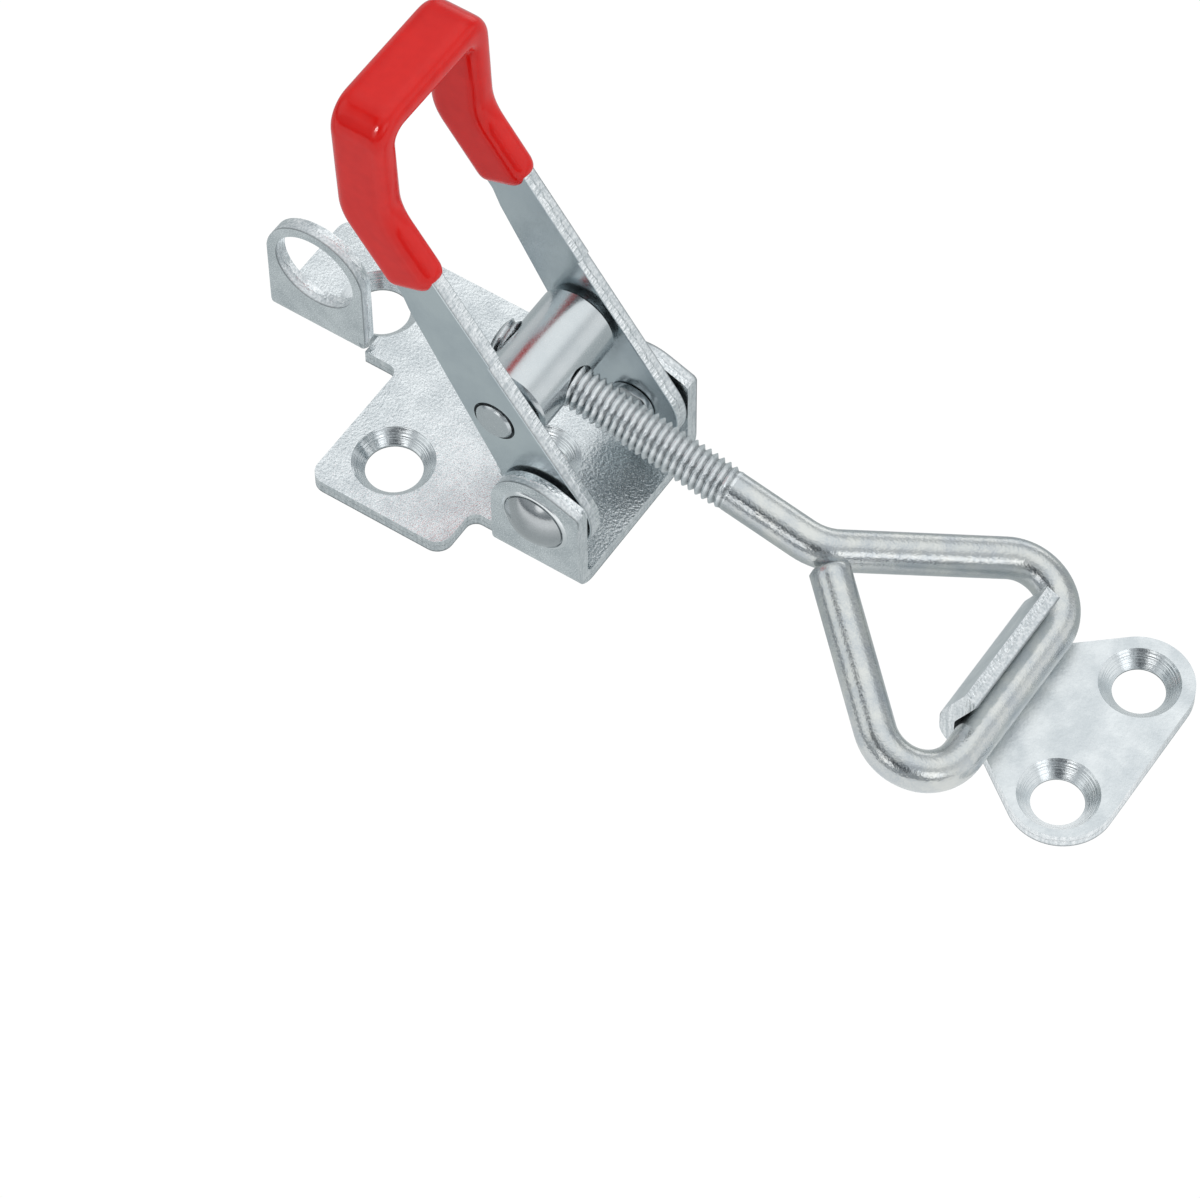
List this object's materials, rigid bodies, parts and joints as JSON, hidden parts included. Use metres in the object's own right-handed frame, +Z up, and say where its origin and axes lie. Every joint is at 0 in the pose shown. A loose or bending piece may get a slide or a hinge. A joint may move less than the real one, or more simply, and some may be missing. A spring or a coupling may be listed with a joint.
{
  "type": "over centre toggle latch",
  "caption": "Bent sheet steel over centre latch with a sleeved U lever, a barrel nut, a threaded triangle hook and a lipped strike plate.",
  "frame": {"origin": "on the mounting plane, straight below the lever's pivot, on the latch's centre plane", "axes": "+X from the latch to the hook and strike, +Y across the latch, +Z up from the mounting plane"},
  "size_m": [0.1324, 0.0393, 0.0698],
  "materials": {
    "zinc_sheet": "bright zinc plate, fine mottle",
    "zinc_strip": "bright zinc plate, smooth",
    "zinc_turned": "bright zinc plate, turned",
    "zinc_rod": "bright zinc plate, drawn rod",
    "red_vinyl": "dipped glossy vinyl"
  },
  "bodies": {
    "base": {"base_plate": "zinc_sheet", "near_pivot_rivet": "zinc_turned", "far_pivot_rivet": "zinc_turned"},
    "lever": {"lever": "zinc_strip", "grip": "red_vinyl"},
    "barrel": {"barrel_nut": "zinc_turned"},
    "hook": {"hook_bolt": "zinc_rod", "strike_plate": "zinc_sheet"}
  },
  "joints": [
    {"name": "lever_hinge", "type": "hinge", "parent": "base", "child": "lever", "pos_m": [0, 0, 0.0108], "axis": [0, 1, 0], "range_deg": [-62, 40]},
    {"name": "barrel_swivel", "type": "hinge", "parent": "lever", "child": "barrel", "pos_m": [-0.00746, 0, 0.0233], "axis": [0, 1, 0], "range_deg": [-34, 53]},
    {"name": "hook_adjust", "type": "slide", "parent": "barrel", "child": "hook", "axis": [0.9801, 0, -0.1987], "range_m": [-0.01, 0.001]}
  ],
  "couplings": [
    {"joint": "barrel_swivel", "follows": "lever_hinge", "ratio": -0.84}
  ]
}
